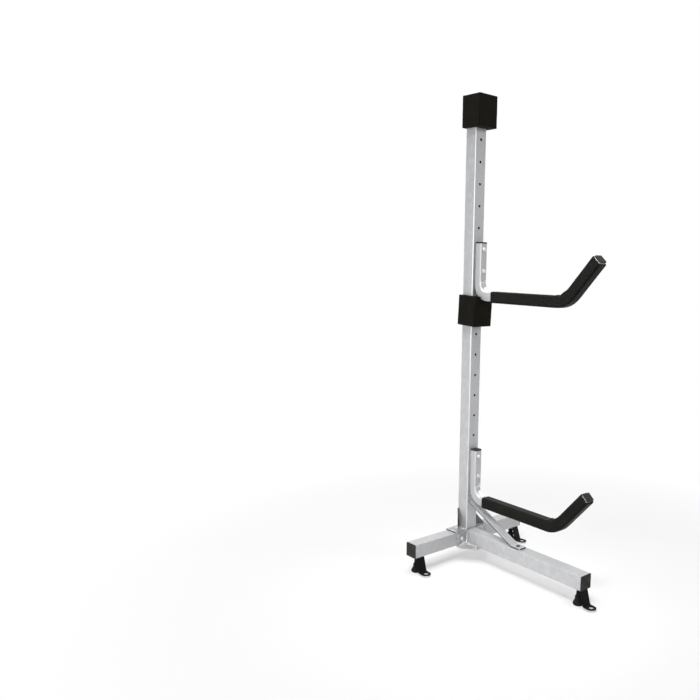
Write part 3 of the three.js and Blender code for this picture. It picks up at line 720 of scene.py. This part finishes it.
def turned_piece(name, rings, sides, node, arc=40):
    """A piece built up from a disc, one ring of [radius, height] pairs at a time, along Z."""
    radius, height = rings[0]
    bpy.ops.mesh.primitive_circle_add(vertices=sides, radius=radius, fill_type="NGON",
                                      location=(0, 0, height))
    piece = bpy.context.object
    piece.name = name
    bpy.ops.object.transform_apply(location=True, rotation=True, scale=True)
    bpy.ops.object.mode_set(mode="EDIT")
    bpy.ops.mesh.select_all(action="SELECT")
    for next_radius, next_height in rings[1:]:
        bpy.ops.mesh.extrude_region_move(
            TRANSFORM_OT_translate={"value": (0, 0, next_height - height)})
        bpy.ops.transform.resize(value=(next_radius / radius, next_radius / radius, 1),
                                 center_override=(0, 0, next_height))
        radius, height = next_radius, next_height
    bpy.ops.mesh.select_all(action="SELECT")
    bpy.ops.mesh.normals_make_consistent(inside=False)
    bpy.ops.object.mode_set(mode="OBJECT")
    smooth(piece, arc)
    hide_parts(node)
    return piece


def thread(radius, start, end, pitch):
    """Rings of a screw thread, as crests and roots."""
    root = radius * 0.86
    crest_start, crest_end = pitch * 0.4, pitch * 0.6
    rings = []
    height = start
    while height + pitch < end:
        rings += [(root, height), (radius, height + crest_start), (radius, height + crest_end)]
        height += pitch
    rings += [(root, height), (root, end)]
    return rings


def dome_bolt(node, axis):
    """A dome-headed bolt on its CAD node's place; axis points from its tail to its head."""
    low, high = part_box(node)
    along = Vector(axis)
    length = abs((high - low).dot(along))
    middle = (low + high) / 2
    head, shank, rise, tail, pitch = 0.0075, 0.004, 0.0046, 0.0085, 0.00125
    rim, corner = 0.0009, 0.0003
    dome_steps = (0, 15, 30, 45, 58, 70, 80, 87)
    seat = length - rise
    dome = [(head * cos(turn), seat + rim + (rise - rim) * sin(turn))
            for turn in (radians(step) for step in dome_steps)]
    rings = [*thread(shank, 0, tail, pitch), (shank, tail), (shank, seat), (head - corner, seat),
             (head, seat + corner), *dome]
    piece = turned_piece(node + "_finished", rings, 32, node)
    turn = Vector((0, 0, 1)).rotation_difference(along).to_matrix().to_4x4()
    piece.data.transform(Matrix.Translation(middle) @ turn @ Matrix.Translation((0, 0, -length / 2)))
    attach(piece, "frame")
    return piece


for node in ("bracket_bolt_right", "bracket_bolt_left", "brace_top_bolt", "upper_arm_high_bolt",
             "upper_arm_low_bolt", "lower_arm_high_bolt", "lower_arm_low_bolt"):
    coat(dome_bolt(node, (1, 0, 0)), bright_zinc)

# The bolt at the brace's foot shows a darker head than the others
foot_bolt = dome_bolt("brace_foot_bolt", (0, 0, 1))
coat(foot_bolt, bright_zinc)
head_height = 0.0048
head_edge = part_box("brace_foot_bolt")[1].z - head_height
faces_bare_or_shaded(foot_bolt, lambda place, normal: place.z > head_edge, shade_and_dark_finish)
for node in ("bracket_nut_right", "bracket_nut_left", "brace_top_nut", "brace_foot_nut",
             "upper_arm_high_nut", "upper_arm_low_nut", "lower_arm_high_nut", "lower_arm_low_nut"):
    coat(finished_copy(node, edge=0.0007, steps=3), bright_zinc)
coat(finished_copy("coupler_screw", edge=0.0004), bright_zinc)


# Levelling feet: a black moulded pad on a blackened stud that screws into an insert in the
# tube. The pad's lip spreads on the floor, and its neck takes the moulded-in stud.
black_rubber = finish_in(
    "black moulded rubber",
    dark=(0.004, 0.004, 0.004), light=(0.010, 0.010, 0.0095), worn=(0.04, 0.04, 0.038),
    metallic=0.0, rough=(0.5, 0.7), grain=0.8, depth=0.00008, sizes=(1700.0, 500.0, 22.0),
    specular=0.1,
)
black_oxide = finish_in(
    "black oxide",
    dark=(0.003, 0.003, 0.003), light=(0.008, 0.008, 0.0085), worn=(0.12, 0.115, 0.11),
    metallic=0.0, rough=(0.36, 0.55), grain=0.7, depth=0.00005, sizes=(1600.0, 380.0, 25.0),
    specular=0.07,
)
# The pad's profile from the floor up: shares of its radius and of its height
pad_radius = 0.019
pad_profile = (
    (0.789, 0.0), (0.863, 0.0), (0.916, 0.009), (0.968, 0.035), (0.995, 0.070),
    (1.0, 0.107), (0.984, 0.147), (0.947, 0.191), (0.868, 0.249), (0.789, 0.305),
    (0.732, 0.356), (0.679, 0.414), (0.663, 0.465), (0.637, 0.660), (0.616, 0.679),
    (0.553, 0.700), (0.495, 0.719), (0.468, 0.735), (0.458, 0.767), (0.453, 0.981),
    (0.421, 0.995), (0.305, 0.998),
)
# The stud's round head, as radii and heights in metres, and the thread above it
stud_head = ((0.009, 0.0), (0.010, 0.001), (0.010, 0.005), (0.009, 0.006))
stud_radius, stud_pitch, thread_start = 0.005, 0.0015, 0.006
for side in ("right", "left", "front"):
    low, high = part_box("foot_pad_" + side)
    rings = [(across * pad_radius, up * (high.z - low.z)) for across, up in pad_profile]
    pad = turned_piece("foot_" + side + "_pad", rings, 48, "foot_pad_" + side, arc=50)
    pad.data.transform(Matrix.Translation(((low.x + high.x) / 2, (low.y + high.y) / 2, low.z)))
    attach(pad, "foot_" + side)
    coat(pad, black_rubber)
    low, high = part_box("foot_stud_" + side)
    rings = [*stud_head, *thread(stud_radius, thread_start, high.z - low.z, stud_pitch)]
    stud = turned_piece("foot_" + side + "_stud", rings, 28, "foot_stud_" + side)
    stud.data.transform(Matrix.Translation(((low.x + high.x) / 2, (low.y + high.y) / 2, low.z)))
    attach(stud, "foot_" + side)
    coat(stud, black_oxide)
    coat(finished_copy("foot_insert_" + side, edge=0.0006), bright_zinc)


# Anchor tabs and their lock nuts: steel strip, cut, punched and bent in a press, then
# blackened like the studs. The edges of the hole and the bends are rubbed.
for side in ("right", "left", "front"):
    coat(finished_copy("anchor_tab_" + side, edge=0.0005, steps=3, arc=30), black_oxide)
    coat(finished_copy("foot_nut_" + side, edge=0.0008, steps=3), black_oxide)


# Studio: a pale floor that runs out to white, a white surround, and five soft lamps: one
# above, one on the stand's right, a weak one on its left that reflections don't show, one
# behind the camera that only reflections show, and a narrow one on the upright's foot.
def pale_floor():
    """Matt and pale around the stand; further out the camera and mirrors see plain white."""
    near, far, near_white = 0.35, 1.5, 0.45
    material = bpy.data.materials.new("pale floor")
    material.use_nodes = True
    tree = material.node_tree
    shader = tree.nodes["Principled BSDF"]
    shader.inputs["Base Color"].default_value = (0.9, 0.9, 0.9, 1)
    shader.inputs["Roughness"].default_value = 0.8
    shader.inputs["Specular IOR Level"].default_value = 0.1
    place = node_in(tree, "TexCoord")
    away = node_in(tree, "VectorMath", operation="LENGTH")
    fade = node_in(tree, "MapRange", sockets={"From Min": near, "From Max": far, "To Min": near_white})
    ray = node_in(tree, "LightPath")
    seen = node_in(tree, "Math", operation="MAXIMUM")
    share = node_in(tree, "Math", operation="MULTIPLY")
    white = node_in(tree, "Emission", sockets={"Color": (1, 1, 1, 1), "Strength": 1.0})
    choose = node_in(tree, "MixShader")
    tree.links.new(place.outputs["Object"], away.inputs[0])
    tree.links.new(away.outputs["Value"], fade.inputs["Value"])
    tree.links.new(ray.outputs["Is Camera Ray"], seen.inputs[0])
    tree.links.new(ray.outputs["Is Glossy Ray"], seen.inputs[1])
    tree.links.new(seen.outputs[0], share.inputs[0])
    tree.links.new(fade.outputs["Result"], share.inputs[1])
    tree.links.new(share.outputs[0], choose.inputs["Fac"])
    tree.links.new(shader.outputs[0], choose.inputs[1])
    tree.links.new(white.outputs[0], choose.inputs[2])
    tree.links.new(choose.outputs[0], tree.nodes["Material Output"].inputs["Surface"])
    return material


bpy.ops.mesh.primitive_plane_add(size=40, location=(0, 0, 0))
floor = bpy.context.object
floor.name = "studio_floor"
floor.data.materials.append(pale_floor())
floor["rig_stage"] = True


def soft_lamp(name, place, aim, size, power):
    """A lamp with a rectangle for its face, of a size in metres and a power in watts."""
    bpy.ops.object.light_add(type="AREA", location=place)
    lamp = bpy.context.object
    lamp.name = name
    lamp.data.shape = "RECTANGLE"
    lamp.data.size = size[0]
    lamp.data.size_y = size[1]
    lamp.data.energy = power
    lamp.rotation_euler = (Vector(aim) - Vector(place)).to_track_quat("-Z", "Y").to_euler()
    return lamp


soft_lamp("key lamp", (-1.6, -3.7, 0.9), (-0.1, 0, 0.4), (1.2, 1.0), 48)
soft_lamp("top lamp", (-0.1, -0.5, 4.4), (0, 0, 0.2), (2.0, 3.4), 145)
side_lamp = soft_lamp("side lamp", (2.6, 2.4, 2.3), (-0.1, 0, 1.4), (1.0, 1.5), 8)
side_lamp.data.spread = radians(60)
side_lamp.visible_glossy = False
shine = soft_lamp("shine on edges", (2.2, -2.35, 1.3), (-0.2, 0, 1.1), (2.0, 1.7), 24)
shine.visible_diffuse = False
base_lamp = soft_lamp("base lamp", (0.6, -1.3, 2.6), (0.0, -0.05, 0.05), (0.5, 0.5), 2.1)
base_lamp.data.spread = radians(40)


def white_surround():
    """A world that the camera and mirrors see as white, and which lights the stand only weakly."""
    world = bpy.data.worlds.new("studio")
    world.use_nodes = True
    tree = world.node_tree
    tree.nodes.clear()
    soft = node_in(tree, "Background", sockets={"Color": (0.96, 0.97, 1.0, 1), "Strength": 0.1})
    white = node_in(tree, "Background", sockets={"Color": (1, 1, 1, 1), "Strength": 1.0})
    ray = node_in(tree, "LightPath")
    seen = node_in(tree, "Math", operation="MAXIMUM")
    either = node_in(tree, "Math", operation="MAXIMUM")
    choose = node_in(tree, "MixShader")
    out = node_in(tree, "OutputWorld")
    tree.links.new(ray.outputs["Is Camera Ray"], seen.inputs[0])
    tree.links.new(ray.outputs["Is Glossy Ray"], seen.inputs[1])
    tree.links.new(seen.outputs[0], either.inputs[0])
    tree.links.new(ray.outputs["Is Transmission Ray"], either.inputs[1])
    tree.links.new(either.outputs[0], choose.inputs["Fac"])
    tree.links.new(soft.outputs[0], choose.inputs[1])
    tree.links.new(white.outputs[0], choose.inputs[2])
    tree.links.new(choose.outputs[0], out.inputs["Surface"])
    return world


bpy.context.scene.world = white_surround()


# Camera: the place, tilt and lens that fit the right-hand view in the photograph. Its
# centre lies left of the stand there, which the shift repeats.
image_size, focal_length = 700, 728.15
centre_across, centre_down = 488.93, 386.62
place = (1.65235, -1.7968, 1.0856)
turn, tilt, roll = 45.78, 9.29, 1.64
camera = bpy.data.cameras.new("photograph")
viewer = bpy.data.objects.new("photograph", camera)
bpy.context.scene.collection.objects.link(viewer)
camera.sensor_width = 36
camera.lens = focal_length / image_size * camera.sensor_width
camera.shift_x = -(centre_across - image_size / 2) / image_size
camera.shift_y = (centre_down - image_size / 2) / image_size
camera.clip_start = 0.05
camera.clip_end = 100
viewer.matrix_world = (
    Matrix.Translation(place)
    @ Matrix.Rotation(radians(turn), 4, "Z")
    @ Matrix.Rotation(radians(90 - tilt), 4, "X")
    @ Matrix.Rotation(radians(roll), 4, "Z")
)
bpy.context.scene.camera = viewer
bpy.context.scene.view_settings.view_transform = "Standard"

low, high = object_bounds()
